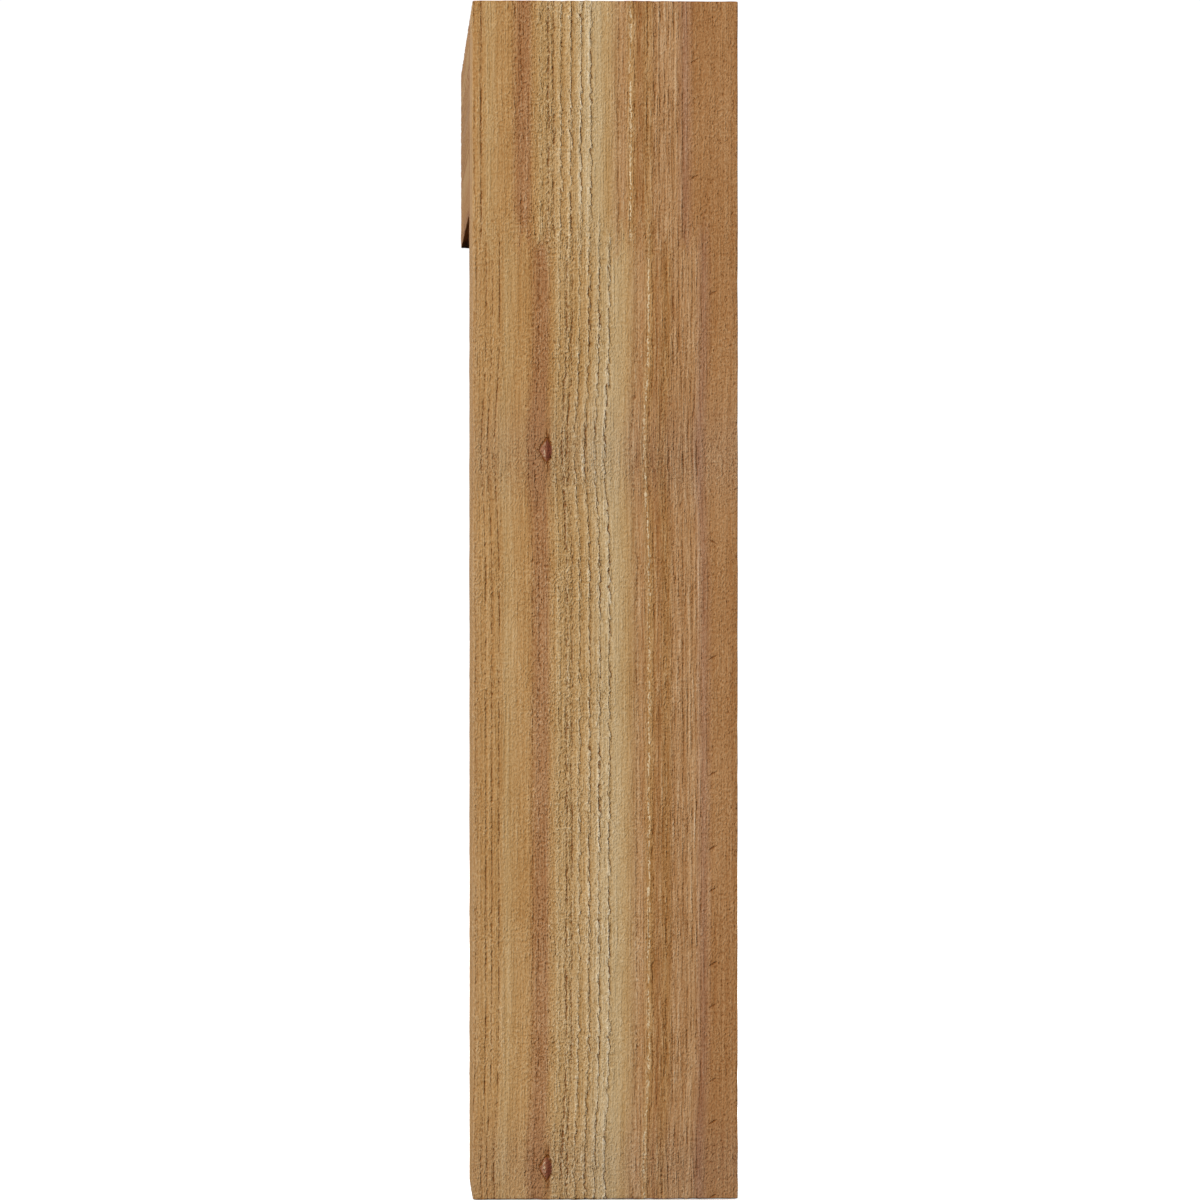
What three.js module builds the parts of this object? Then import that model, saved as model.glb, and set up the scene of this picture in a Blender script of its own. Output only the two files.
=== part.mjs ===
// Sawn timber wall bracket: an upright post, a level arm and a sloping brace.
// Millimetres, +Z up. The post's wall side lies in the plane y = 0 and the arm points to +Y.
// The origin is the middle of the wall side.

import * as THREE from 'three';

// Driving dimensions
const INCH = 25.4;
const BRACKET_WIDTH = 4 * INCH;
const BRACKET_HEIGHT = 18 * INCH;
const BRACKET_PROJECTION = 12 * INCH;
const BOARD_THICKNESS = 3 * INCH;
const BRACE_WIDTH = 3 * INCH;
const BRACE_DEPTH = 3 * INCH;
const ARM_END_REVEAL = 1.5 * INCH;
const POST_FOOT_REVEAL = 2 * INCH;
const JOINT_GAP = 0.3;

// Heights and depths that the joints share
const TOP = BRACKET_HEIGHT / 2;
const FOOT = -BRACKET_HEIGHT / 2;
const ARM_UNDERSIDE = TOP - BOARD_THICKNESS;
const POST_FRONT = BOARD_THICKNESS;

// Bare cedar tones, as red, green and blue from 0 to 255
const POST_TONE = [170, 132, 89];
const ARM_TONE = [164, 128, 89];
const BRACE_TONE = [166, 126, 84];
const SAWN_ROUGHNESS = 0.85;

function bareCedar(tone) {
  const [red, green, blue] = tone.map((level) => level / 255);
  const color = new THREE.Color().setRGB(red, green, blue, THREE.SRGBColorSpace);
  return new THREE.MeshStandardMaterial({ color, roughness: SAWN_ROUGHNESS, metalness: 0 });
}

function makeBoard(name, corners, width, tone) {
  // The side view's outline, as [out from the wall, up], is given its width about the middle plane.
  const outline = new THREE.Shape(corners.map(([out, up]) => new THREE.Vector2(out, up)));
  const geometry = new THREE.ExtrudeGeometry(outline, { depth: width, bevelEnabled: false });
  const board = new THREE.Mesh(geometry, bareCedar(tone));
  board.name = name;
  board.position.z = -width / 2;
  return board;
}

function makePost() {
  const corners = [
    [0, FOOT],
    [POST_FRONT, FOOT],
    [POST_FRONT, TOP],
    [0, TOP],
  ];
  return makeBoard('post', corners, BRACKET_WIDTH, POST_TONE);
}

function makeArm() {
  const butt = POST_FRONT + JOINT_GAP;
  const corners = [
    [butt, ARM_UNDERSIDE],
    [BRACKET_PROJECTION, ARM_UNDERSIDE],
    [BRACKET_PROJECTION, TOP],
    [butt, TOP],
  ];
  return makeBoard('arm', corners, BRACKET_WIDTH, ARM_TONE);
}

function makeBrace() {
  // The lower face runs from a heel on the post's front to a toe under the arm.
  const heelUp = FOOT + POST_FOOT_REVEAL;
  const toeOut = BRACKET_PROJECTION - ARM_END_REVEAL;
  const slope = Math.atan2(ARM_UNDERSIDE - heelUp, toeOut - POST_FRONT);
  // A plumb cut meets the post and a level cut meets the arm, each across the brace's whole depth.
  const plumbCut = BRACE_DEPTH / Math.cos(slope);
  const levelCut = BRACE_DEPTH / Math.sin(slope);
  const plumbFace = POST_FRONT + JOINT_GAP;
  const levelFace = ARM_UNDERSIDE - JOINT_GAP;
  const heel = heelUp + JOINT_GAP * Math.tan(slope);
  const toe = toeOut - JOINT_GAP / Math.tan(slope);
  const corners = [
    [plumbFace, heel],
    [toe, levelFace],
    [toe - levelCut, levelFace],
    [plumbFace, heel + plumbCut],
  ];
  return makeBoard('brace', corners, BRACE_WIDTH, BRACE_TONE);
}

// The boards are drawn in the side view, which is then turned upright:
// its x runs along +Y, its y along +Z and its widths along +X.
const sideView = new THREE.Group();
sideView.rotation.set(Math.PI / 2, 0, Math.PI / 2, 'ZYX');
sideView.add(makePost(), makeArm(), makeBrace());

const bracket = new THREE.Group();
bracket.name = 'timber_bracket';
bracket.add(sideView);

export default bracket;
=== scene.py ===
"""Rough-sawn cedar wall bracket: post, arm and brace as boards with sawn relief, on a plain stage."""

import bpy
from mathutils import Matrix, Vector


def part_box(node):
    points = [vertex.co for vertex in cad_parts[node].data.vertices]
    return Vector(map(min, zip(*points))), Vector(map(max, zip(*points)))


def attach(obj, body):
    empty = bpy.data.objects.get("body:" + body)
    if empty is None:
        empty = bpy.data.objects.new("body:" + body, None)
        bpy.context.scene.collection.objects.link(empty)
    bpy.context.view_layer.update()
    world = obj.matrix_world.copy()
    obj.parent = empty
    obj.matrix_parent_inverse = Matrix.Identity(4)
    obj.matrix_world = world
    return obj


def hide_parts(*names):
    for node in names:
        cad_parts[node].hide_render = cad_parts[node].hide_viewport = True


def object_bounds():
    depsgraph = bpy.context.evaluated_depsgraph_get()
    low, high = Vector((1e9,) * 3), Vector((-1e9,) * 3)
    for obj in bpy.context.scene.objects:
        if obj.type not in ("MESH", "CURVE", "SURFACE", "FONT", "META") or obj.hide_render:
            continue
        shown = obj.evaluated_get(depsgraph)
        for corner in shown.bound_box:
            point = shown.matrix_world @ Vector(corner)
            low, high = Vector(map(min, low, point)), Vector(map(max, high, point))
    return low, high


bl_info = {
    "name": "Rough-Sawn Cedar Bracket",
    "version": (1, 0, 0),
    "blender": (4, 5, 0),
    "location": "View3D > Sidebar > Bracket",
    "description": "Builds a sawn timber wall bracket with its grain, and the stage that shows it",
    "category": "Object",
}

import math
from dataclasses import dataclass
from types import SimpleNamespace

import bpy
import numpy as np
from bpy.props import FloatProperty, FloatVectorProperty, IntProperty, PointerProperty
from mathutils import Vector, noise

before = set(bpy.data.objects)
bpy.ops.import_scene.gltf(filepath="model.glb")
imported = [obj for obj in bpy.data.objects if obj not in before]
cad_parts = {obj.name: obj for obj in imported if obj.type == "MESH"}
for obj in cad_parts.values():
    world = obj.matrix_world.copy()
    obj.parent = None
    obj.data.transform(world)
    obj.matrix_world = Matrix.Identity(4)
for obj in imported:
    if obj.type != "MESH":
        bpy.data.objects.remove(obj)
cad_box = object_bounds()

UV_MAP = "OFBake"
MM = 0.001

# The photograph's frame and what was read off it, in pixels
PHOTO_SIZE = 1200
FACE_TOP_PX = 0.3
FACE_FOOT_PX = 1199.7
FACE_MIDDLE_PX = 605.35
VANISHING_PX = 378.3
FACE_HEIGHT_MM = (cad_box[1].z - cad_box[0].z) / MM
PX_PER_MM = (FACE_FOOT_PX - FACE_TOP_PX) / FACE_HEIGHT_MM
CAMERA_DISTANCE = 2.1844

# Tones of the bare wood, as red, green and blue from 0 to 255
HONEY = (172, 131, 82)
BISCUIT = (178, 143, 96)
ROSE = (158, 113, 73)
STRAW = (185, 157, 115)
TAN = (169, 132, 90)
OCHRE = (160, 116, 69)
DUSK = (170, 128, 86)
PLUM = (156, 114, 83)
RUSSET = (159, 114, 71)
# The torn tone is torn grain, and also painted shade in the hollows
TORN_TONE_AND_SHADE = (118, 66, 22)
FLECK = (226, 206, 170)
KNOT = (98, 46, 28)
KNOT_PINK = (158, 104, 84)
GREYED = (138, 118, 104)
PALE_GREY = (244, 244, 243)

# Where each tone lies across the grain, in millimetres from the middle of the wall face
GRAIN_HALF = 51.0
TONE_PLACES = (
    (-51.0, "tan"),
    (-47.0, "honey"),
    (-40.5, "honey"),
    (-37.5, "biscuit"),
    (-33.0, "honey"),
    (-29.5, "honey"),
    (-26.0, "rose"),
    (-22.3, "rose"),
    (-20.5, "honey"),
    (-18.0, "biscuit"),
    (-7.0, "biscuit"),
    (-1.0, "straw"),
    (5.0, "straw"),
    (8.0, "biscuit"),
    (11.0, "tan"),
    (14.0, "dusk"),
    (17.0, "honey"),
    (20.0, "russet"),
    (22.5, "ochre"),
    (24.0, "ochre"),
    (26.0, "dusk"),
    (34.0, "dusk"),
    (37.5, "plum"),
    (41.0, "russet"),
    (51.0, "russet"),
)

# Thin torn lines along the grain: place and half width in millimetres, and strength
TORN_LINES = (
    (-49.2, 0.30, 0.35),
    (-45.4, 0.30, 0.56),
    (-43.1, 0.28, 0.52),
    (-40.4, 0.28, 0.62),
    (-27.5, 0.28, 0.45),
    (-25.1, 0.50, 0.45),
    (-14.6, 0.45, 0.60),
    (-12.6, 0.36, 0.55),
    (12.1, 0.40, 0.40),
    (18.2, 0.35, 0.45),
    (23.2, 0.45, 0.40),
    (26.0, 0.35, 0.40),
)

# How the saw left each tone, by the same places: fuzz, pits and the share of long strands
SURFACE_PLACES = (
    (-51.0, 0.68, 0.40, 0.34),
    (-40.0, 0.64, 0.40, 0.34),
    (-36.5, 0.55, 0.20, 0.34),
    (-31.0, 0.60, 0.30, 0.32),
    (-27.5, 0.75, 0.60, 0.30),
    (-22.0, 0.85, 0.70, 0.30),
    (-18.0, 0.95, 0.55, 0.32),
    (-12.0, 0.90, 0.50, 0.34),
    (1.5, 0.80, 0.40, 0.38),
    (4.5, 0.55, 0.12, 0.32),
    (10.0, 0.58, 0.18, 0.36),
    (14.0, 0.88, 0.45, 0.54),
    (25.0, 0.98, 0.55, 0.56),
    (36.0, 0.75, 0.35, 0.56),
    (41.0, 0.54, 0.70, 0.26),
    (51.0, 0.54, 0.75, 0.26),
)

# The open grooves in the straw-coloured band, the narrow rings of the dusky one and the flecks
GROOVE_PITCH = 3.8
GROOVE_PLACE = 1.6
GROOVE_BAND = (-19.5, 3.0)
NARROW_BAND = (26.0, 38.0)
NARROW_PITCH = 1.75
FLECK_PLACE = 16.6
FLECK_HALF = 0.35

# The saw's strokes along the grain, and the barbs that they left on the grooves
STROKE_PITCH = 44.3
STROKE_REST = -15.2
STROKE_DEPTH = 0.30
BARB_PITCH = 7.5
BARB_REACH = 0.8

# Unevenness of the wood, as waves per millimetre across and along the grain
GRIT_WAVES = (1.55, 0.95)
FIBRE_WAVES = (1.15, 0.028)
GAP_WAVES = (0.40, 0.085)
DASH_WAVES = (1.2, 0.28)
STRAND_WAVES = (1.50, 0.07)
JAG_WAVES = (0.55, 0.25)
JAG_REACH = 1.3
SWELL_WAVES = (0.22, 0.07)
LUMP_WAVES = (0.60, 0.28)
DRIFT_WAVES = (0.018, 0.0045)
PATCH_WAVES = (0.045, 0.012)
LANE_WAVES = (0.75, 0.0045)

# How much each kind of unevenness deepens the wood's tone, the fuzz and the grooves' ridges as painted
# shade and painted light, and how far two tones cover it, the torn tone also as painted shade in
# hollows
LANE_SHADE = 0.42
PATCH_SHADE = 0.30
FUZZ_PAINTED_SHADING = 1.80
HAIR_SHADE = 1.20
RIDGE_PAINTED_SHADING = 0.28
FLECK_COVER = 0.7
HOLLOW_TORN_AND_SHADE = 0.85

# Marks on the wall face only, in millimetres from its middle
JOG = 7.0
JOG_RISE = (126.0, 150.0)
JOG_RAGGED = 22.0
KNOT_ACROSS = -22.4
KNOT_HEIGHTS = (57.0, -216.5)
KNOT_LEFT = 2.9
KNOT_RIGHT = 1.9
KNOT_TALL = 4.8
KNOT_PULL = 1.9
KNOT_FADE = (-24.0, -36.0)
NICK_PLACE = (41.0, -22.0)
NICK_SLOPE = math.radians(30)
NICK_HALF_LENGTH = 2.2
NICK_HALF_WIDTH = 0.5
NICK_FADE = (-34.0, -36.0)
NICK_STRENGTH = 0.64
NICK_RISE = 6.1
NICK_RISE_HEIGHTS = (100.0, 110.0)
MIRRORED_NICKS = (4.0, 40.0)
MISSING_NICKS = (48.0, 96.0)
SECOND_NICKS = -28.3
SECOND_NICKS_HEIGHTS = (-76.0, -84.0)

# Where the boards' hearts lie, across and through them, and shifts of their grain, in millimetres.
# The lean is a share of the depth, and the tone depth a power of the tone.
POST_HEART_ACROSS = -165.0
POST_LEAN = 0.3
POST_LEAN_RISE = (-30.0, 40.0)
ARM_HEART = (64.0, 96.0)
ARM_GRAIN_SHIFT = -55.0
ARM_TONE_DEPTH = 1.2
BRACE_HEART = (-74.0, 118.0)
BRACE_GRAIN_SHIFT = 23.0
END_RING = 2.9

# Places and widths of the lamps and the floor's reach, in metres, and how strongly the floor glows
KEY_PLACE = (-1.75, -2.28, 0.95)
KEY_WIDTH = 0.9
FILL_PLACE = (2.2, 0.7, 0.9)
FILL_WIDTH = 1.2
FRONT_PLACE = (-0.9, 2.2, 1.3)
FRONT_WIDTH = 1.4
FLOOR_REACH = 30.0
FLOOR_DROP = 0.2 * MM
FLOOR_GLOW = 0.45
FAR_GLOW = 0.35
FAR_GLOW_RISE = (0.6, 2.0)


def linear(tone):
    """A tone from 0 to 255 as the linear values that shaders take."""
    levels = [level / 255 for level in tone]
    return tuple(v / 12.92 if v <= 0.04045 else ((v + 0.055) / 1.055) ** 2.4 for v in levels)


def tone_property(label, description, tone):
    return FloatVectorProperty(
        name=label, description=description, subtype="COLOR", size=3, min=0, max=1,
        default=linear(tone),
    )


def depth_property(label, description, millimetres):
    return FloatProperty(
        name=label, description=description, unit="LENGTH", subtype="DISTANCE", min=0, max=0.01,
        precision=5, default=millimetres * MM,
    )


class CedarFinish(bpy.types.PropertyGroup):
    """Tones and surface depths of the sawn cedar."""

    honey: tone_property("Honey", "Main tone of the heartwood", HONEY)
    biscuit: tone_property("Biscuit", "Lighter bands in the heartwood", BISCUIT)
    rose: tone_property("Rose", "Reddish streak beside the pin knots", ROSE)
    straw: tone_property("Straw", "Pale band of wide rings", STRAW)
    tan: tone_property("Tan", "Quiet wood beside the pale band", TAN)
    ochre: tone_property("Ochre", "Deep yellow-brown streak", OCHRE)
    dusk: tone_property("Dusk", "Greyish band of narrow rings", DUSK)
    plum: tone_property("Plum", "Mauve line in the narrow rings", PLUM)
    russet: tone_property("Russet", "Orange-brown wood", RUSSET)
    # The torn tone is also painted shade in the hollows of the grooves, tears, pits and low fuzz
    torn: tone_property("Torn grain", "Bottom of grooves and pits", TORN_TONE_AND_SHADE)
    fleck: tone_property("Fleck", "Bare light fibres", FLECK)
    knot: tone_property("Knot", "Dark side of a pin knot", KNOT)
    knot_pink: tone_property("Knot pink", "Light side of a pin knot", KNOT_PINK)
    greyed: tone_property("Greyed", "Weathered wood level with the knots", GREYED)
    fuzz_depth: depth_property("Fuzz depth", "Height of the raised sawn fibres", 1.10)
    swell_depth: depth_property("Swell depth", "Height of the broad unevenness left by the saw", 0.25)
    lump_depth: depth_property("Lump depth", "Height of the lifted tufts of fibre", 0.45)
    tear_depth: depth_property("Tear depth", "Depth of lines and pits torn by the saw", 0.40)
    groove_depth: depth_property("Groove depth", "Depth of the open grooves", 0.32)


class BoardMaking(bpy.types.PropertyGroup):
    """How finely the boards are modelled."""

    arris_radius: depth_property("Arris radius", "Mean radius of the worn long edges", 0.7)
    joint_close: depth_property("Joint close", "How far the brace's ends run on into its joints", 0.4)
    pitch_across: depth_property("Pitch across", "Mesh spacing across the grain", 0.95)
    pitch_along: depth_property("Pitch along", "Mesh spacing along the grain", 2.8)
    back_pitch_across: depth_property("Back pitch across", "Post's mesh spacing across the grain", 2.4)
    back_pitch_along: depth_property("Back pitch along", "Post's mesh spacing along the grain", 4.6)
    wall_split: IntProperty(
        name="Wall split", description="Parts that the post's spacing is split into on its wall face",
        min=1, max=6, default=4,
    )


class StageSettings(bpy.types.PropertyGroup):
    """Floor, light and dome around the bracket."""

    floor_tone: tone_property("Floor", "Tone of the plain floor", PALE_GREY)
    key_power: FloatProperty(
        name="Key light", description="Power of the large lamp at the upper left", unit="POWER",
        min=0, default=97,
    )
    fill_power: FloatProperty(
        name="Fill light", description="Power of the lamp at the right", unit="POWER", min=0,
        default=50,
    )
    front_power: FloatProperty(
        name="Front light", description="Power of the lamp beyond the arm's end", unit="POWER",
        min=0, default=40,
    )
    dome_strength: FloatProperty(
        name="Dome", description="Brightness of the soft sky over the stage", min=0, default=0.55,
    )


class Wiring:
    """Adds nodes to a shader or geometry tree and hands back their output sockets."""

    def __init__(self, tree):
        self.tree = tree

    def node(self, kind, **settings):
        made = self.tree.nodes.new(kind)
        for name, value in settings.items():
            setattr(made, name, value)
        return made

    def feed(self, socket, value):
        if isinstance(value, bpy.types.NodeSocket):
            self.tree.links.new(value, socket)
        else:
            socket.default_value = value

    def math(self, operation, *values):
        made = self.node("ShaderNodeMath", operation=operation)
        for socket, value in zip(made.inputs, values):
            self.feed(socket, value)
        return made.outputs[0]

    def vector(self, operation, *values):
        made = self.node("ShaderNodeVectorMath", operation=operation)
        for socket, value in zip(made.inputs, values):
            self.feed(socket, value)
        return made.outputs["Value" if operation in {"DISTANCE", "LENGTH"} else "Vector"]

    def split(self, point):
        made = self.node("ShaderNodeSeparateXYZ")
        self.feed(made.inputs[0], point)
        return made.outputs[0], made.outputs[1], made.outputs[2]

    def join(self, x, y, z):
        made = self.node("ShaderNodeCombineXYZ")
        for socket, value in zip(made.inputs, (x, y, z)):
            self.feed(socket, value)
        return made.outputs[0]

    def step(self, value, low, high):
        """0 at low and 1 at high, eased at both; low may be the larger."""
        made = self.node("ShaderNodeMapRange", interpolation_type="SMOOTHSTEP")
        start, end = (low, high) if low < high else (high, low)
        for socket, fed in zip(made.inputs, (value, start, end)):
            self.feed(socket, fed)
        made.inputs[3].default_value = 0.0 if low < high else 1.0
        made.inputs[4].default_value = 1.0 if low < high else 0.0
        return made.outputs[0]

    def band(self, value, low, high, edge):
        """1 between low and high, fading out over the edge."""
        rise = self.step(value, low - edge, low + edge)
        fall = self.step(value, high + edge, high - edge)
        return self.math("MULTIPLY", rise, fall)

    def noise(self, point, detail=2.0, roughness=0.5):
        made = self.node("ShaderNodeTexNoise", noise_dimensions="3D")
        self.feed(made.inputs["Vector"], point)
        made.inputs["Scale"].default_value = 1.0
        made.inputs["Detail"].default_value = detail
        made.inputs["Roughness"].default_value = roughness
        return made.outputs[0]

    def grain_noise(self, point, across, along, detail=2.0, roughness=0.5):
        """Noise drawn out along the grain; across and along are waves per millimetre."""
        stretched = self.vector("MULTIPLY", point, (across, across, along))
        return self.noise(stretched, detail, roughness)

    def sway(self, noise_value, reach):
        """Noise made to swing about zero by up to reach."""
        return self.math("MULTIPLY_ADD", noise_value, 2 * reach, -reach)

    def fade(self, amount, low, high):
        """Low where the amount is 0, high where it is 1."""
        return self.math("MULTIPLY_ADD", amount, self.math("SUBTRACT", high, low), low)

    def ramp(self, grain, stops):
        """Colours set at places across the grain, in millimetres."""
        made = self.node("ShaderNodeValToRGB")
        share = self.math("DIVIDE", self.math("ADD", grain, GRAIN_HALF), 2 * GRAIN_HALF)
        self.feed(made.inputs[0], share)
        elements = made.color_ramp.elements
        while len(elements) < len(stops):
            elements.new(0.5)
        for element, (place, colour) in zip(elements, stops):
            element.position = (place + GRAIN_HALF) / (2 * GRAIN_HALF)
            element.color = (*colour, 1.0)
        return made.outputs[0]


@dataclass
class Board:
    """One sawn board: where its heart lies, how its rings run, its tone and what marks it bears."""

    name: str
    heart: tuple
    grain_start: float
    seed: tuple
    drift: float = 1.6
    lean: float = 0.0
    tone_depth: float = 1.0
    half_length: float = 0.0
    has_wall_marks: bool = False


def wave_bell(wire, amount, width):
    """1 at zero, falling away on both sides like a bell."""
    share = wire.math("DIVIDE", amount, width)
    return wire.math("EXPONENT", wire.math("MULTIPLY", wire.math("MULTIPLY", share, share), -1.0))


def knot_marks(wire, x, y, z, texture):
    """Pin knots of the wall face: a pointed eye with a dark side, and what lies about it."""
    near_wall = wire.step(y, *KNOT_FADE)
    heights = [wire.math("ABSOLUTE", wire.math("SUBTRACT", z, height)) for height in KNOT_HEIGHTS]
    apart = wire.math("MINIMUM", *heights)
    aside = wire.math("SUBTRACT", x, KNOT_ACROSS)
    left = wire.math("DIVIDE", aside, -KNOT_LEFT)
    right = wire.math("MULTIPLY", aside, 0.6 / KNOT_RIGHT)
    reach = wire.math("ADD", wire.math("MAXIMUM", left, right), wire.math("DIVIDE", apart, KNOT_TALL))
    reach = wire.math("ADD", reach, wire.sway(texture.grit, 0.35))
    inside = wire.math("MULTIPLY", wire.step(aside, KNOT_RIGHT + 0.4, KNOT_RIGHT - 0.2), near_wall)
    eye = wire.math("MULTIPLY", wire.step(reach, 1.10, 0.80), inside)
    outer_line = wire.math("MULTIPLY", wire.band(reach, 1.50, 1.56, 0.14), 0.5)
    outline = wire.math("MAXIMUM", wire.band(reach, 0.90, 1.16, 0.12), outer_line)
    rim = wire.math("MULTIPLY", outline, inside)
    dark = wire.math("MULTIPLY", wire.step(aside, -1.1, 0.7), eye)
    specks = wire.math("MULTIPLY", wire.band(aside, -1.3, -0.5, 0.3), eye)
    specks = wire.math("MULTIPLY", specks, wire.step(texture.grit, 0.46, 0.60))
    line = wire.step(wire.math("ABSOLUTE", wire.math("SUBTRACT", aside, 0.3)), 1.3, 0.3)
    streak = wire.math("MULTIPLY", line, wire.step(apart, 13.0, 4.5))
    streak = wire.math("MULTIPLY", streak, wire.step(texture.dashes, 0.66, 0.44))
    red = wire.math("MULTIPLY", wire.step(aside, -8.0, -3.5), wire.step(aside, 2.0, 1.2))
    return SimpleNamespace(
        eye=eye, rim=rim, dark=dark, specks=specks,
        streak=wire.math("MULTIPLY", streak, near_wall),
        stain=wire.math("MULTIPLY", wire.math("MULTIPLY", red, wire.step(apart, 30.0, 6.0)), near_wall),
        patch=wire.math("MULTIPLY", wave_bell(wire, apart, 17.0), near_wall),
        pull=wire.math("MULTIPLY", wave_bell(wire, apart, 26.0), near_wall),
    )


def ring_place(wire, x, y, seeded, board, knot):
    """Distance across the growth rings, in millimetres, zero at the middle of the wall face."""
    drift = wire.sway(wire.grain_noise(seeded, *DRIFT_WAVES, 1.0), board.drift)
    across = wire.math("ADD", x, drift)
    if knot:
        across = wire.math("MULTIPLY_ADD", knot.pull, KNOT_PULL, across)
    spot = wire.join(across, y, 0.0)
    radius = wire.vector("DISTANCE", spot, (*board.heart, 0.0))
    ring = wire.math("ADD", radius, board.grain_start)
    if board.lean:
        depth = wire.math("SUBTRACT", y, board.heart[1])
        leaning = wire.math("MULTIPLY", depth, wire.step(x, *POST_LEAN_RISE))
        ring = wire.math("MULTIPLY_ADD", leaning, board.lean, ring)
    return ring


def torn_lines(wire, grain):
    """Thin lines where the saw tore along the rings."""
    torn = None
    for line_place, half, strength in TORN_LINES:
        off = wire.math("ABSOLUTE", wire.math("SUBTRACT", grain, line_place))
        line = wire.math("MULTIPLY", wire.step(off, half * 1.7, half * 0.3), strength)
        torn = line if torn is None else wire.math("MAXIMUM", torn, line)
    return torn


def saw_nicks(wire, x, y, z, shift, shown):
    """Short slanting cuts up the right side of the wall face, one for each stroke of the saw."""
    start = wire.math("ADD", shift, NICK_PLACE[1])
    along = wire.math("WRAP", wire.math("SUBTRACT", z, start), STROKE_PITCH / 2, -STROKE_PITCH / 2)
    mirrored = wire.math("MULTIPLY_ADD", wire.band(z, *MIRRORED_NICKS, 3.0), -2.0, 1.0)
    aside = wire.math("MULTIPLY", wire.math("SUBTRACT", x, NICK_PLACE[0]), mirrored)
    cos, sin = math.cos(NICK_SLOPE), math.sin(NICK_SLOPE)
    run = wire.math("ADD", wire.math("MULTIPLY", aside, cos), wire.math("MULTIPLY", along, sin))
    run = wire.math("DIVIDE", run, NICK_HALF_LENGTH)
    off = wire.math("SUBTRACT", wire.math("MULTIPLY", along, cos), wire.math("MULTIPLY", aside, sin))
    off = wire.math("DIVIDE", off, NICK_HALF_WIDTH)
    reach = wire.math("MULTIPLY_ADD", run, run, wire.math("ABSOLUTE", off))
    lens = wire.math("MULTIPLY", wire.step(reach, 1.25, 0.35), wire.step(y, *NICK_FADE))
    return wire.math("MULTIPLY", lens, shown)


def sawn_texture(wire, place, board):
    """Fine texture of the sawn surface, the same in every tone of the wood."""
    seeded = wire.vector("ADD", place, board.seed)
    elsewhere = wire.vector("ADD", seeded, (31.0, 17.0, 53.0))
    grit = wire.grain_noise(seeded, *GRIT_WAVES, 1.0, 0.6)
    fibre = wire.grain_noise(seeded, *FIBRE_WAVES, 2.0, 0.60)
    gaps = wire.grain_noise(elsewhere, *GAP_WAVES, 2.0, 0.60)
    dashes = wire.grain_noise(elsewhere, *DASH_WAVES, 2.0)
    along = wire.math("SUBTRACT", wire.split(place)[2], STROKE_REST)
    stroke = wire.math("COSINE", wire.math("MULTIPLY", along, 2 * math.pi / STROKE_PITCH))
    return SimpleNamespace(
        seeded=seeded, grit=grit, fibre=fibre, gaps=gaps, dashes=dashes,
        strands=wire.grain_noise(elsewhere, *STRAND_WAVES, 2.0, 0.60),
        jag=wire.sway(wire.grain_noise(seeded, *JAG_WAVES, 3.0, 0.65), JAG_REACH),
        pits=wire.step(wire.fade(0.4, dashes, grit), 0.44, 0.35),
        dots=wire.step(wire.fade(0.5, gaps, dashes), 0.42, 0.56),
        barbs=wire.math("MULTIPLY_ADD", gaps, 2.0, wire.math("DIVIDE", along, BARB_PITCH)),
        barb_reach=BARB_REACH if board.has_wall_marks else BARB_REACH / 4,
        stroke=wire.math("MULTIPLY_ADD", stroke, -STROKE_DEPTH, 2.0),
    )


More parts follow.
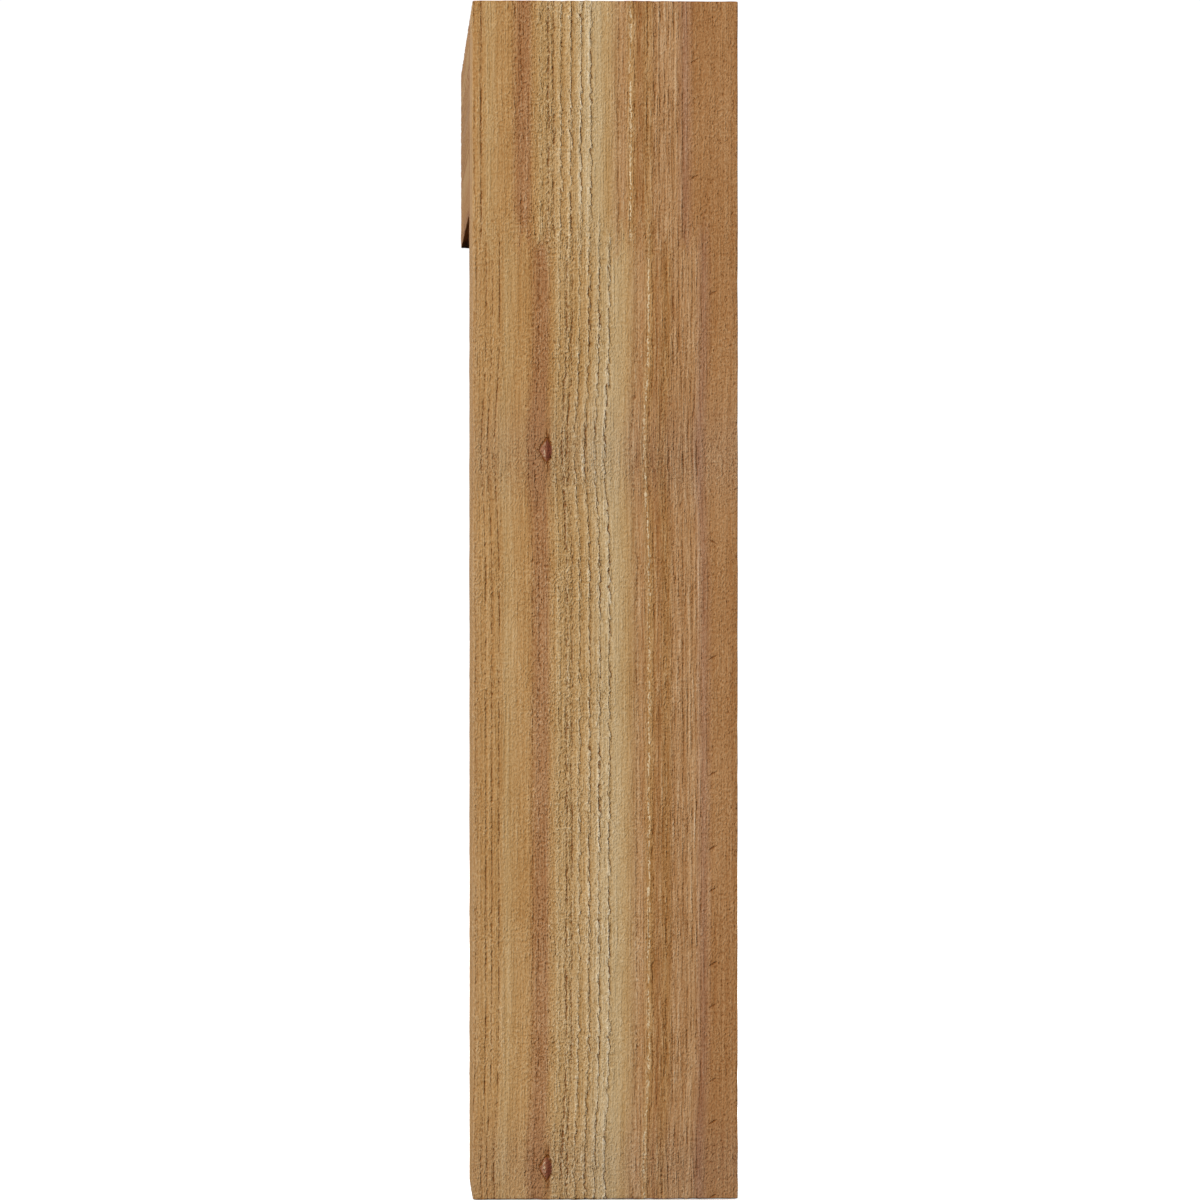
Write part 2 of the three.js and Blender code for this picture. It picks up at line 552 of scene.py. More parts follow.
def lane_marks(wire, ring, texture):
    """What the growth rings leave on the surface: grooves, torn lines, ridges and flecks."""
    swing = wire.math("PINGPONG", wire.math("ADD", ring, GRAIN_HALF), 2 * GRAIN_HALF)
    grain = wire.math("SUBTRACT", swing, GRAIN_HALF)
    stops = [(place, (fuzz / 2, pits, strands)) for place, fuzz, pits, strands in SURFACE_PLACES]
    half_rough, pitted, stringy = wire.split(wire.ramp(grain, stops))
    ragged = wire.math("MULTIPLY_ADD", wire.step(grain, -34.0, -24.0), 0.75, 0.25)
    jagged = wire.math("MULTIPLY_ADD", texture.jag, ragged, grain)
    dotted = wire.math("MULTIPLY_ADD", texture.dots, 0.50, 0.50)
    tears = wire.math("MULTIPLY", torn_lines(wire, jagged), dotted)
    combed = wire.math("MULTIPLY_ADD", texture.jag, 0.20, grain)
    combed = wire.math("WRAP", combed, NARROW_PITCH / 2, -NARROW_PITCH / 2)
    narrow = wire.step(wire.math("ABSOLUTE", combed), 0.50, 0.15)
    narrow = wire.math("MULTIPLY", narrow, wire.band(grain, *NARROW_BAND, 1.5))
    narrow = wire.math("MULTIPLY", wire.math("MULTIPLY", narrow, dotted), 0.38)
    pits = wire.math("MULTIPLY", wire.math("MULTIPLY", texture.pits, pitted), 0.46)
    tears = wire.math("MAXIMUM", wire.math("MAXIMUM", tears, narrow), pits)

    barb = wire.math("FRACT", texture.barbs)
    barbed = wire.math("MULTIPLY_ADD", wire.math("SUBTRACT", barb, 0.5), texture.barb_reach, jagged)
    start = wire.math("SUBTRACT", barbed, GROOVE_PLACE)
    side = wire.math("WRAP", start, GROOVE_PITCH / 2, -GROOVE_PITCH / 2)
    in_band = wire.band(grain, *GROOVE_BAND, 0.8)
    weak_to_strong = wire.math("MULTIPLY_ADD", wire.step(grain, -15.0, -6.0), 0.65, 0.35)
    whole = wire.step(texture.gaps, 0.36, 0.52)
    present = wire.math("MULTIPLY", in_band, wire.math("MULTIPLY_ADD", whole, 0.40, 0.60))
    present = wire.math("MULTIPLY", present, weak_to_strong)
    trough = wire.band(side, 0.0, 0.22, 0.23)
    grooves = wire.math("MULTIPLY", trough, present)
    # The crest and valley shape the relief, and in the colour they also carry a painted highlight and
    # painted shade
    crest = wire.math("MULTIPLY", wire.step(side, -1.7, -0.35), wire.step(side, 0.30, -0.25))
    valley = wire.math("MULTIPLY", wire.step(side, 1.7, 0.3), wire.step(side, -0.10, 0.25))
    ridge = wire.math("MULTIPLY", wire.math("MULTIPLY_ADD", valley, -0.8, crest), present)

    fleck_lane = wire.band(jagged, FLECK_PLACE - FLECK_HALF, FLECK_PLACE + FLECK_HALF, 0.3)
    flecks = wire.math("MULTIPLY", fleck_lane, wire.step(texture.dashes, 0.43, 0.54))
    flecks = wire.math("MULTIPLY", flecks, wire.step(texture.grit, 0.38, 0.54))
    return {
        "tears": tears, "grooves": grooves, "ridge": ridge, "flecks": flecks,
        "roughness": wire.math("MULTIPLY", half_rough, texture.stroke),
        "fuzz": wire.fade(stringy, texture.grit, texture.strands),
        "stringy": stringy,
    }, grain


def grain_fields(wire, place, board):
    """Everything that follows the grain at a place, in millimetres from the board's middle."""
    texture = sawn_texture(wire, place, board)
    x, y, z = wire.split(place)
    knot = knot_marks(wire, x, y, z, texture) if board.has_wall_marks else None
    ring = ring_place(wire, x, y, texture.seeded, board, knot)
    marks, grain = lane_marks(wire, ring, texture)
    fields = SimpleNamespace(
        x=x, y=y, z=z, seeded=texture.seeded, fibre=texture.fibre, jag=texture.jag,
        ring=ring, grain=grain, upper_grain=None, upper=None, knot=knot, **marks,
    )
    if knot:
        fields.upper = wire.step(wire.math("ADD", z, wire.sway(texture.gaps, JOG_RAGGED)), *JOG_RISE)
        shifted, fields.upper_grain = lane_marks(wire, wire.math("ADD", ring, JOG), texture)
        for name, low in marks.items():
            setattr(fields, name, wire.fade(fields.upper, low, shifted[name]))
        jogged = wire.math("MULTIPLY_ADD", fields.upper, JOG, x)
        rise = wire.math("MULTIPLY", wire.step(z, *NICK_RISE_HEIGHTS), NICK_RISE)
        present = wire.math("SUBTRACT", 1.0, wire.band(z, *MISSING_NICKS, 4.0))
        nicks = saw_nicks(wire, jogged, y, z, rise, present)
        more_nicks = saw_nicks(wire, jogged, y, z, SECOND_NICKS, wire.step(z, *SECOND_NICKS_HEIGHTS))
        nicks = wire.math("MULTIPLY", wire.math("MAXIMUM", nicks, more_nicks), NICK_STRENGTH)
        fields.tears = wire.math("MAXIMUM", fields.tears, nicks)
        fields.tears = wire.math("MAXIMUM", fields.tears, wire.math("MULTIPLY", knot.rim, 0.75))
        rougher = wire.math("MULTIPLY_ADD", knot.patch, 0.2, 1.0)
        fields.roughness = wire.math("MULTIPLY", fields.roughness, rougher)
    # worn holds how low the fuzz lies; with the tears and grooves it makes the hollows, which the
    # colour fills with the torn tone as painted shade
    worn = wire.math("MULTIPLY", wire.math("SUBTRACT", 0.5, fields.fuzz), fields.roughness)
    rim = wire.math("MULTIPLY_ADD", worn, 1.2, wire.math("MAXIMUM", fields.tears, fields.grooves))
    fields.hollow = wire.step(rim, 0.16, 0.80)
    return fields


def broad_height(wire, fields, finish):
    """The relief that is modelled in the mesh: grooves, tears and the saw's swell, in millimetres."""
    swell_noise = wire.grain_noise(fields.seeded, *SWELL_WAVES, 2.0)
    swell = wire.math("MULTIPLY", wire.math("SUBTRACT", swell_noise, 0.7), finish.swell_depth / MM)
    lump_noise = wire.grain_noise(fields.seeded, *LUMP_WAVES, 1.0)
    lumps = wire.math("MULTIPLY_ADD", lump_noise, fields.roughness, -0.6)
    swell = wire.math("MULTIPLY_ADD", lumps, finish.lump_depth / MM, swell)
    tears = wire.math("MULTIPLY", fields.tears, -finish.tear_depth / MM)
    grooves = wire.math("MULTIPLY", fields.grooves, -finish.groove_depth / MM)
    ridge = wire.math("MULTIPLY", fields.ridge, 0.5 * finish.groove_depth / MM)
    return wire.math("ADD", wire.math("ADD", swell, ridge), wire.math("MINIMUM", tears, grooves))


def fine_height(wire, fields, finish):
    """The relief that is too fine for the mesh: fuzz, fibres and ragged edges, in millimetres."""
    fuzz = wire.math("MULTIPLY", fields.fuzz, fields.roughness)
    fuzz = wire.math("MULTIPLY", fuzz, finish.fuzz_depth / MM)
    hairs = wire.math("MULTIPLY", fields.fibre, 0.35)
    hollow = wire.math("MULTIPLY", fields.hollow, -0.6 * finish.tear_depth / MM)
    ridge = wire.math("MULTIPLY", fields.ridge, 0.6 * finish.groove_depth / MM)
    return wire.math("ADD", wire.math("ADD", fuzz, hairs), wire.math("ADD", hollow, ridge))


def wood_tone(wire, fields, finish):
    """The wood's own colour across the grain."""
    stops = [(place, getattr(finish, tone)) for place, tone in TONE_PLACES]
    colour = wire.ramp(fields.grain, stops)
    if fields.upper:
        colour = blend_tone(wire, fields.upper, colour, wire.ramp(fields.upper_grain, stops))
    return colour


def blend_tone(wire, amount, under, over):
    """Colour under, covered by colour over by the amount."""
    made = wire.node("ShaderNodeMix", data_type="RGBA")
    wire.feed(made.inputs[0], amount)
    for socket, value in zip((made.inputs[6], made.inputs[7]), (under, over)):
        wire.feed(socket, value if isinstance(value, bpy.types.NodeSocket) else (*value, 1.0))
    return made.outputs[2]


def deepen(wire, colour, gamma):
    """A gamma above 1 makes wood darker and warmer, below 1 paler."""
    made = wire.node("ShaderNodeGamma")
    wire.feed(made.inputs[0], colour)
    wire.feed(made.inputs[1], gamma)
    return made.outputs[0]


def end_grain(wire, fields, board):
    """Mask of the cross-cut ends, with their rings and drying cracks."""
    cut = wire.step(wire.math("ABSOLUTE", fields.z), board.half_length - 0.9, board.half_length - 0.35)
    year = wire.math("FRACT", wire.math("DIVIDE", fields.ring, END_RING))
    late = wire.step(year, 0.35, 0.92)
    spot = wire.vector("SUBTRACT", wire.join(fields.x, fields.y, 0.0), (*board.heart, 0.0))
    across, through, _ = wire.split(spot)
    turn = wire.math("MULTIPLY", wire.math("ARCTAN2", through, across), 60.0)
    crack_noise = wire.noise(wire.join(turn, wire.math("MULTIPLY", fields.ring, 0.03), 3.7), 2.0)
    cracks = wire.step(crack_noise, 0.66, 0.74)
    return SimpleNamespace(cut=cut, late=late, cracks=cracks)


def cedar_colour(wire, fields, board, finish):
    """Colour of the sawn wood: tones across the grain, then shade with painted shade and light on the
    fuzz and ridges, tears and hollows in the torn tone with painted shade, flecks and knots.
    """
    colour = wood_tone(wire, fields, finish)
    lane_across = wire.math("MULTIPLY", fields.ring, LANE_WAVES[0])
    lane_along = wire.math("MULTIPLY", fields.z, LANE_WAVES[1])
    lane = wire.join(wire.math("MULTIPLY_ADD", fields.jag, 0.3, lane_across), 0.0, lane_along)
    lanes = wire.noise(wire.vector("ADD", lane, board.seed), 3.0, 0.6)
    patches = wire.grain_noise(fields.seeded, *PATCH_WAVES, 2.0)
    gamma = wire.math("MULTIPLY_ADD", lanes, -LANE_SHADE, board.tone_depth + LANE_SHADE / 2)
    gamma = wire.math("ADD", gamma, wire.math("MULTIPLY_ADD", patches, -PATCH_SHADE, PATCH_SHADE / 2))
    # Painted shade and painted light: the colour darkens where the fuzz lies low and pales where it
    # stands high
    fuzz = wire.math("MULTIPLY", wire.math("SUBTRACT", 0.5, fields.fuzz), fields.roughness)
    gamma = wire.math("MULTIPLY_ADD", fuzz, FUZZ_PAINTED_SHADING, gamma)
    hairs = wire.math("MULTIPLY", wire.math("SUBTRACT", 0.5, fields.fibre), fields.stringy)
    gamma = wire.math("MULTIPLY_ADD", hairs, HAIR_SHADE, gamma)
    # Painted light: the crest left of each groove is made paler as a painted highlight, and the valley
    # right of it darker as painted shade
    gamma = wire.math("SUBTRACT", gamma, wire.math("MULTIPLY", fields.ridge, RIDGE_PAINTED_SHADING))
    colour = deepen(wire, colour, gamma)
    colour = blend_tone(wire, wire.math("MULTIPLY", fields.flecks, FLECK_COVER), colour, finish.fleck)
    if board.has_wall_marks:
        colour = knot_colour(wire, fields, colour, finish)
    # Hollows take the torn tone: torn grain colour, and painted shade in the grooves, tears, pits and
    # low fuzz
    colour = blend_tone(wire, wire.math("MULTIPLY", fields.hollow, HOLLOW_TORN_AND_SHADE), colour, finish.torn)
    if board.half_length:
        ends = end_grain(wire, fields, board)
        ringed = deepen(wire, colour, wire.math("MULTIPLY_ADD", ends.late, 0.30, 1.12))
        cracked = blend_tone(wire, wire.math("MULTIPLY", ends.cracks, 0.6), ringed, finish.torn)
        colour = blend_tone(wire, ends.cut, colour, cracked)
    return colour


def knot_colour(wire, fields, colour, finish):
    """Pin knots on the wall face, in greyed wood and a reddish stain."""
    knot = fields.knot
    layers = (
        (knot.patch, 0.17, finish.greyed),
        (knot.stain, 0.45, finish.rose),
        (knot.streak, 0.90, finish.torn),
        (knot.eye, 0.60, finish.knot_pink),
        (knot.dark, 0.90, finish.knot),
        (knot.specks, 0.45, finish.fleck),
        (knot.rim, 0.60, finish.torn),
    )
    for mask, strength, tone in layers:
        colour = blend_tone(wire, wire.math("MULTIPLY", mask, strength), colour, tone)
    return colour


def sawn_cedar(board, finish):
    """Material of one board, drawn in the board's own millimetres."""
    material = bpy.data.materials.new(f"sawn_cedar_{board.name}")
    material.use_nodes = True
    wire = Wiring(material.node_tree)
    shader = material.node_tree.nodes["Principled BSDF"]
    shader.inputs["Specular IOR Level"].default_value = 0.08
    metres = wire.node("ShaderNodeTexCoord").outputs["Object"]
    place = wire.vector("MULTIPLY", metres, (1 / MM,) * 3)
    fields = grain_fields(wire, place, board)
    wire.feed(shader.inputs["Base Color"], cedar_colour(wire, fields, board, finish))
    wire.feed(shader.inputs["Roughness"], wire.math("MULTIPLY_ADD", fields.fuzz, 0.25, 0.70))
    bump = wire.node("ShaderNodeBump")
    bump.inputs["Strength"].default_value = 1.0
    bump.inputs["Distance"].default_value = MM
    wire.feed(bump.inputs["Height"], fine_height(wire, fields, finish))
    wire.feed(shader.inputs["Normal"], bump.outputs[0])
    return material


def sawn_relief(board, finish):
    """Geometry nodes that press the sawn relief into a board's mesh."""
    tree = bpy.data.node_groups.new(f"sawn_relief_{board.name}", "GeometryNodeTree")
    tree.interface.new_socket("Geometry", in_out="INPUT", socket_type="NodeSocketGeometry")
    tree.interface.new_socket("Geometry", in_out="OUTPUT", socket_type="NodeSocketGeometry")
    wire = Wiring(tree)
    metres = wire.node("GeometryNodeInputPosition").outputs[0]
    place = wire.vector("MULTIPLY", metres, (1 / MM,) * 3)
    height = broad_height(wire, grain_fields(wire, place, board), finish)
    normal = wire.node("GeometryNodeInputNormal").outputs[0]
    scaled = wire.node("ShaderNodeVectorMath", operation="SCALE")
    wire.feed(scaled.inputs[0], normal)
    wire.feed(scaled.inputs["Scale"], wire.math("MULTIPLY", height, MM))
    press = wire.node("GeometryNodeSetPosition")
    wire.feed(press.inputs["Geometry"], wire.node("NodeGroupInput").outputs[0])
    wire.feed(press.inputs["Offset"], scaled.outputs["Vector"])
    wire.feed(wire.node("NodeGroupOutput").inputs[0], press.outputs[0])
    return tree


def stations(length, pitch, arris):
    """Places along one side of a board from its middle, close together at the arrises."""
    count = max(2, round((length - 2 * arris) / pitch))
    places = np.linspace(arris - length / 2, length / 2 - arris, count + 1)
    rim = np.array([0.0, 0.45]) * arris
    return np.concatenate([-length / 2 + rim, places, (length / 2 - rim)[::-1]])


def split_stations(places, parts, arris):
    """The same places with the gaps between arrises split in parts, and where each place went."""
    fine = []
    kept = []
    for start, end in zip(places[:-1], places[1:]):
        kept.append(len(fine))
        fine.extend(np.linspace(start, end, parts if end - start > arris else 1, endpoint=False))
    kept.append(len(fine))
    return np.array([*fine, places[-1]]), np.array(kept)


def grid_faces(layer, turned):
    """Quads of one side's grid of vertex ids."""
    corners = [layer[:-1, :-1], layer[1:, :-1], layer[1:, 1:], layer[:-1, 1:]]
    return np.stack(corners[::-1] if turned else corners, axis=-1).reshape(-1, 4)


def rim_steps(rim, kept):
    """Ids that lie between neighbouring coarse vertices on a finer rim, both ways round."""
    steps = {}
    for start, end in zip(kept[:-1], kept[1:]):
        between = rim[start + 1:end].tolist()
        steps[rim[start], rim[end]] = between
        steps[rim[end], rim[start]] = between[::-1]
    return steps


def stitched(face, steps):
    """A face with the finer rim's vertices put in along its edges."""
    ring = []
    for start, end in zip(face, np.roll(face, -1)):
        ring.append(int(start))
        ring.extend(steps.get((start, end), ()))
    return ring


def box_shell(xs, ys, zs, parts, arris):
    """Closed box over three rows of stations: its points, and the faces of each of its six sides.

    The low y side, which is the wall face, has its gaps split in parts.
    """
    fine_xs, kept_xs = split_stations(xs, parts, arris)
    fine_zs, kept_zs = split_stations(zs, parts, arris)
    wall = np.arange(len(fine_xs) * len(fine_zs)).reshape(len(fine_xs), len(fine_zs))
    on_rim = [np.isin(np.arange(len(s)), (0, len(s) - 1)) for s in (xs, ys, zs)]
    shell = on_rim[0][:, None, None] | on_rim[1][None, :, None] | on_rim[2][None, None, :]
    shell[:, 0, :] = False
    ids = np.full(shell.shape, -1)
    ids[shell] = np.arange(shell.sum()) + wall.size
    ids[:, 0, :] = wall[np.ix_(kept_xs, kept_zs)]
    at = np.argwhere(shell)
    behind = np.stack([xs[at[:, 0]], ys[at[:, 1]], zs[at[:, 2]]], axis=1)
    across, along = np.meshgrid(fine_xs, fine_zs, indexing="ij")
    before = np.stack([across.ravel(), np.full(wall.size, ys[0]), along.ravel()], axis=1)
    steps = {}
    for end in (0, -1):
        steps.update(rim_steps(wall[end], kept_zs))
        steps.update(rim_steps(wall[:, end], kept_xs))
    sides = []
    for axis in range(3):
        for high in (False, True):
            layer = wall if (axis, high) == (1, False) else np.take(ids, -1 if high else 0, axis=axis)
            faces = grid_faces(layer, high == (axis == 1)).tolist()
            sides.append(faces if axis == 1 else [stitched(face, steps) for face in faces])
    return np.concatenate([before, behind]), sides


def ease_arrises(points, half, radius, seed):
    """Rounds the board's edges by a radius that wear has varied along them."""
    most = radius * 1.9
    beyond = (np.abs(points) > half - most).sum(axis=1) >= 2
    for index in np.flatnonzero(beyond):
        point = points[index]
        wear = noise.noise(Vector(point / (14 * MM)) + Vector(seed))
        chip = noise.noise(Vector(point / (3.5 * MM)) + Vector(seed))
        worn = radius * (1.0 + 0.5 * wear + 0.35 * max(0.0, chip))
        core = np.clip(point, worn - half, half - worn)
        away = point - core
        span = np.linalg.norm(away)
        if np.count_nonzero(np.abs(away) > 1e-9) >= 2:
            points[index] = core + away * (worn / span)


def lay_out_map(mesh, sides, flat, spans):
    """A map with the four long faces side by side and the ends in a column beside them."""
    gap = 3 * MM
    wide, deep, long = spans
    total = 2 * (wide + deep) + wide + 6 * gap
    size = max(total, long + 2 * gap, 2 * deep + 3 * gap)
    starts = {2: gap, 3: wide + 2 * gap, 0: 2 * wide + 3 * gap, 1: 2 * wide + deep + 4 * gap}
    corners = []
    for number, faces in enumerate(sides):
        axis, high = divmod(number, 2)
        at = flat[[vertex for face in faces for vertex in face]]
        if axis == 2:
            u = at[:, 0] + wide / 2 + 2 * (wide + deep) + 5 * gap
            v = at[:, 1] + deep / 2 + gap + high * (deep + gap)
        else:
            u = at[:, 1 - axis] + (wide, deep)[1 - axis] / 2 + starts[number]
            v = at[:, 2] + long / 2 + gap
        corners.append(np.stack([u, v], axis=1) / size)
    layer = mesh.uv_layers.new(name=UV_MAP)
    layer.uv.foreach_set("vector", np.concatenate(corners).astype(np.float32).ravel())


def board_mesh(board, wide, deep, ends, making):
    """Closed mesh of a board about its middle; ends gives the low and high end at each depth face."""
    arris = making.arris_radius
    across, along, parts = making.pitch_across, making.pitch_along, 1
    if board.has_wall_marks:
        across, along, parts = making.back_pitch_across, making.back_pitch_along, making.wall_split
    (low_in, high_in), (low_out, high_out) = ends
    low_end, high_end = min(low_in, low_out), max(high_in, high_out)
    long = high_end - low_end
    xs, ys = stations(wide, across, arris), stations(deep, across, arris)
    flat, sides = box_shell(xs, ys, stations(long, along, arris), parts, arris)
    points = flat.copy()
    depth_share = points[:, 1] / deep + 0.5
    low = low_in + (low_out - low_in) * depth_share
    high = high_in + (high_out - high_in) * depth_share
    points[:, 2] = low + (high - low) * (points[:, 2] / long + 0.5)
    half = np.array([wide / 2, deep / 2, long / 2 if board.half_length else 10.0])
    ease_arrises(points, half, arris, board.seed)
    mesh = bpy.data.meshes.new(board.name)
    mesh.from_pydata(points.tolist(), [], [face for side in sides for face in side])
    flat[:, 2] = points[:, 2] - (low_end + high_end) / 2
    lay_out_map(mesh, sides, flat, (wide, deep, long))
    mesh.shade_smooth()
    return mesh


def dress_board(context, board, wide, deep, ends, middle, turn):
    """Makes one board, presses its relief in, finishes it and hangs it on the frame."""
    settings = context.scene
    mesh = board_mesh(board, wide, deep, ends, settings.bracket_making)
    piece = bpy.data.objects.new(f"sawn_{board.name}", mesh)
    context.scene.collection.objects.link(piece)
    tree = sawn_relief(board, settings.bracket_finish)
    piece.modifiers.new("sawn relief", "NODES").node_group = tree
    context.view_layer.update()
    seen = piece.evaluated_get(context.evaluated_depsgraph_get())
    piece.data = bpy.data.meshes.new_from_object(seen)
    piece.data.name = board.name
    piece.modifiers.clear()
    bpy.data.node_groups.remove(tree)
    bpy.data.meshes.remove(mesh)
    piece.data.materials.append(sawn_cedar(board, settings.bracket_finish))
    piece.rotation_euler = (turn, 0.0, 0.0)
    piece.location = middle
    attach(piece, "root")
    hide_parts(board.name)
    return piece


def heart_offset(heart, deep):
    """Grain start that puts zero at the middle of the face turned to local -Y."""
    return -math.hypot(heart[0], -deep / 2 / MM - heart[1])


class BRACKET_OT_make_post(bpy.types.Operator):
    """Make the upright board, with the grain, knots and nicks of its wall face"""

    bl_idname = "bracket.make_post"
    bl_label = "Make Post"

    def execute(self, context):
        low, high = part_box("post")
        wide, deep, long = high - low
        heart = (POST_HEART_ACROSS, -deep / 2 / MM)
        board = Board(
            name="post", heart=heart, grain_start=heart_offset(heart, deep), seed=(3.1, 47.7, 12.9),
            drift=0.4, lean=POST_LEAN, half_length=long / 2 / MM, has_wall_marks=True,
        )
        ends = ((-long / 2, long / 2),) * 2
        dress_board(context, board, wide, deep, ends, (low + high) / 2, 0.0)
        return {"FINISHED"}


class BRACKET_OT_make_arm(bpy.types.Operator):
    """Make the level board, with its grain running out from the wall"""

    bl_idname = "bracket.make_arm"
    bl_label = "Make Arm"

    def execute(self, context):
        low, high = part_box("arm")
        wide, long, deep = high - low
        board = Board(
            name="arm", heart=ARM_HEART, grain_start=heart_offset(ARM_HEART, deep) + ARM_GRAIN_SHIFT,
            seed=(61.3, 8.2, 95.4), tone_depth=ARM_TONE_DEPTH, half_length=long / 2 / MM,
        )
        ends = ((-long / 2, long / 2),) * 2
        dress_board(context, board, wide, deep, ends, (low + high) / 2, -math.pi / 2)
        return {"FINISHED"}


class BRACKET_OT_make_brace(bpy.types.Operator):
    """Make the sloping board, with its plumb and level cuts"""

    bl_idname = "bracket.make_brace"
    bl_label = "Make Brace"

    def execute(self, context):
        low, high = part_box("brace")
        wide = high.x - low.x
        corners = [vertex.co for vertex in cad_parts["brace"].data.vertices]
        heel = min(corners, key=lambda c: c.z)
        toe = max(corners, key=lambda c: c.y)
        plumb_top = max((c for c in corners if c.y < low.y + MM), key=lambda c: c.z)
        level_back = min((c for c in corners if c.z > high.z - MM), key=lambda c: c.y)
        slope = math.atan2(toe.z - heel.z, toe.y - heel.y)
        along = Vector((0.0, math.cos(slope), math.sin(slope)))
        outward = Vector((0.0, math.sin(slope), -math.cos(slope)))
        deep = (heel - plumb_top).dot(outward)
        middle = Vector((0.0, *((heel + toe + plumb_top + level_back) / 4).yz))
        close = context.scene.bracket_making.joint_close
        to_post, to_arm = close / math.cos(slope), close / math.sin(slope)
        ends = tuple(
            ((first - middle).dot(along) - to_post, (last - middle).dot(along) + to_arm)
            for first, last in ((plumb_top, level_back), (heel, toe))
        )
        board = Board(
            name="brace", heart=BRACE_HEART, seed=(17.6, 70.5, 39.8),
            grain_start=heart_offset(BRACE_HEART, deep) + BRACE_GRAIN_SHIFT,
        )
        dress_board(context, board, wide, deep, ends, middle, slope - math.pi / 2)
        return {"FINISHED"}


def stage_floor(settings):
    """A wide plain floor at the bracket's foot, which throws no light back up."""
    mesh = bpy.data.meshes.new("floor")
    corners = ((-1, -1), (1, -1), (1, 1), (-1, 1))
    rim = [(side * FLOOR_REACH, ahead * FLOOR_REACH, 0) for side, ahead in corners]
    mesh.from_pydata(rim, [], [(0, 1, 2, 3)])
    floor = bpy.data.objects.new("floor", mesh)
    floor.location.z = cad_box[0].z - FLOOR_DROP
    floor.visible_diffuse = False
    floor.visible_glossy = False
    material = bpy.data.materials.new("plain_floor")
    material.use_nodes = True
    shader = material.node_tree.nodes["Principled BSDF"]
    shader.inputs["Base Color"].default_value = (*settings.floor_tone, 1.0)
    shader.inputs["Roughness"].default_value = 1.0
    shader.inputs["Specular IOR Level"].default_value = 0.0
    shader.inputs["Emission Color"].default_value = (1.0, 1.0, 1.0, 1.0)
    wire = Wiring(material.node_tree)
    away = wire.vector("LENGTH", wire.node("ShaderNodeTexCoord").outputs["Object"])
    glow = wire.math("MULTIPLY_ADD", wire.step(away, *FAR_GLOW_RISE), FAR_GLOW, FLOOR_GLOW)
    wire.feed(shader.inputs["Emission Strength"], glow)
    mesh.materials.append(material)
    return floor


def stage_lamp(name, place, power, width):
    """A large soft lamp that faces the bracket's middle."""
    lamp = bpy.data.lights.new(name, "AREA")
    lamp.energy = power
    lamp.size = width
    made = bpy.data.objects.new(name, lamp)
    made.location = place
    made.rotation_euler = (-Vector(place)).to_track_quat("-Z", "Y").to_euler()
    return made


def stage_dome(world, strength):
    """Soft light from above the horizon, almost none from below, and white behind everything."""
    world.use_nodes = True
    wire = Wiring(world.node_tree)
    up = wire.split(wire.node("ShaderNodeTexCoord").outputs["Generated"])[2]
    sky = wire.math("MULTIPLY_ADD", wire.step(up, -0.12, 0.2), strength, 0.02)
    seen = wire.node("ShaderNodeLightPath").outputs["Is Camera Ray"]
    light = wire.math("MAXIMUM", sky, wire.math("MULTIPLY", seen, 1.05))
    background = world.node_tree.nodes["Background"]
    background.inputs["Color"].default_value = (1.0, 1.0, 1.0, 1.0)
    wire.feed(background.inputs["Strength"], light)


def photo_camera():
    """The photograph's viewpoint: level with the middle of the wall face, a little to its left."""
    scale = PX_PER_MM / MM
    aside = (VANISHING_PX - FACE_MIDDLE_PX) / scale
    place = Vector((aside, -CAMERA_DISTANCE, 0.0))
    reach = place.length
    camera = bpy.data.cameras.new("photo_camera")
    camera.sensor_width = 36.0
    camera.lens = camera.sensor_width * scale * reach / PHOTO_SIZE
    off_centre = math.atan((FACE_MIDDLE_PX - PHOTO_SIZE / 2) / (scale * reach))
    made = bpy.data.objects.new("photo_camera", camera)
    made.location = place
    made.rotation_euler = (math.pi / 2, 0.0, off_centre - math.atan2(-aside, CAMERA_DISTANCE))
    return made


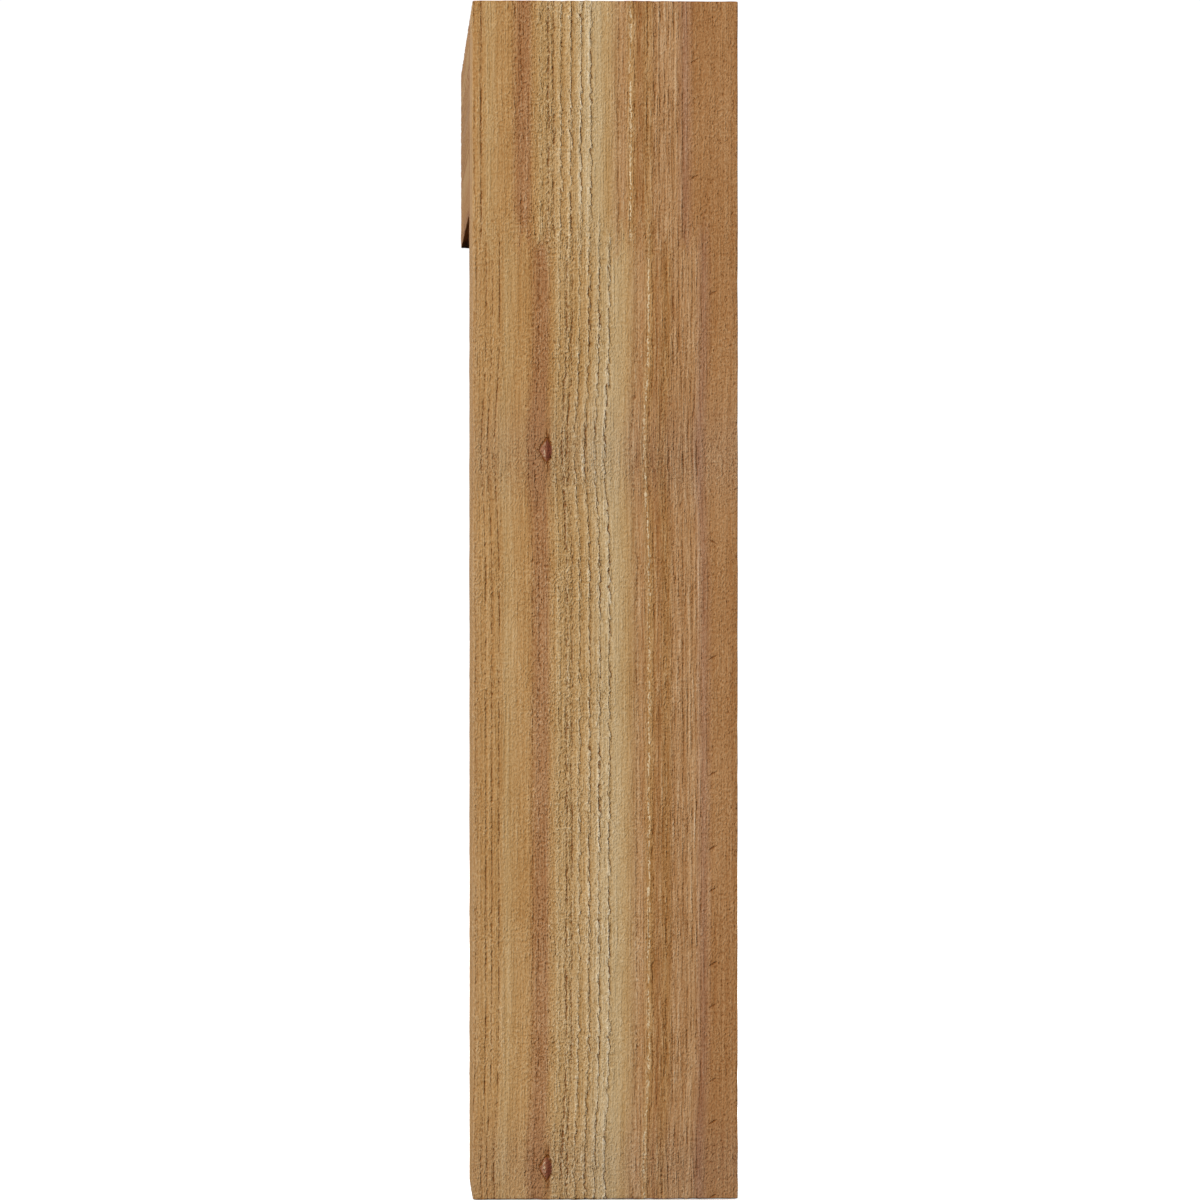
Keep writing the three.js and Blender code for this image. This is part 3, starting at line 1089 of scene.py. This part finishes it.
class BRACKET_OT_set_stage(bpy.types.Operator):
    """Set the floor, the lamps, the dome and the photograph's camera"""

    bl_idname = "bracket.set_stage"
    bl_label = "Set Stage"

    def execute(self, context):
        scene = context.scene
        settings = scene.bracket_stage
        camera = photo_camera()
        made = [
            stage_floor(settings),
            stage_lamp("key_lamp", KEY_PLACE, settings.key_power, KEY_WIDTH),
            stage_lamp("fill_lamp", FILL_PLACE, settings.fill_power, FILL_WIDTH),
            stage_lamp("front_lamp", FRONT_PLACE, settings.front_power, FRONT_WIDTH),
            camera,
        ]
        for piece in made:
            scene.collection.objects.link(piece)
        scene.camera = camera
        scene.world = bpy.data.worlds.new("studio")
        stage_dome(scene.world, settings.dome_strength)
        scene.view_settings.view_transform = "Standard"
        return {"FINISHED"}


class BRACKET_PT_workshop(bpy.types.Panel):
    """Lists the bracket's pieces, its stage and what can be changed"""

    bl_idname = "BRACKET_PT_workshop"
    bl_label = "Sawn Bracket"
    bl_space_type = "VIEW_3D"
    bl_region_type = "UI"
    bl_category = "Bracket"

    def draw(self, context):
        column = self.layout.column(align=True)
        for operator in OPERATORS:
            column.operator(operator.bl_idname)
        for setting in SETTINGS:
            group = getattr(context.scene, setting)
            box = self.layout.box()
            for name in group.__annotations__:
                box.prop(group, name)


OPERATORS = (
    BRACKET_OT_make_post,
    BRACKET_OT_make_arm,
    BRACKET_OT_make_brace,
    BRACKET_OT_set_stage,
)
SETTINGS = {
    "bracket_finish": CedarFinish,
    "bracket_making": BoardMaking,
    "bracket_stage": StageSettings,
}


def register():
    for made in (*SETTINGS.values(), *OPERATORS, BRACKET_PT_workshop):
        bpy.utils.register_class(made)
    for name, group in SETTINGS.items():
        setattr(bpy.types.Scene, name, PointerProperty(type=group))


def unregister():
    for name in SETTINGS:
        delattr(bpy.types.Scene, name)
    for made in (BRACKET_PT_workshop, *reversed(OPERATORS), *reversed(SETTINGS.values())):
        bpy.utils.unregister_class(made)


def main():
    register()
    bpy.ops.bracket.make_post()
    bpy.ops.bracket.make_arm()
    bpy.ops.bracket.make_brace()
    bpy.ops.bracket.set_stage()


if __name__ == "__main__":
    main()
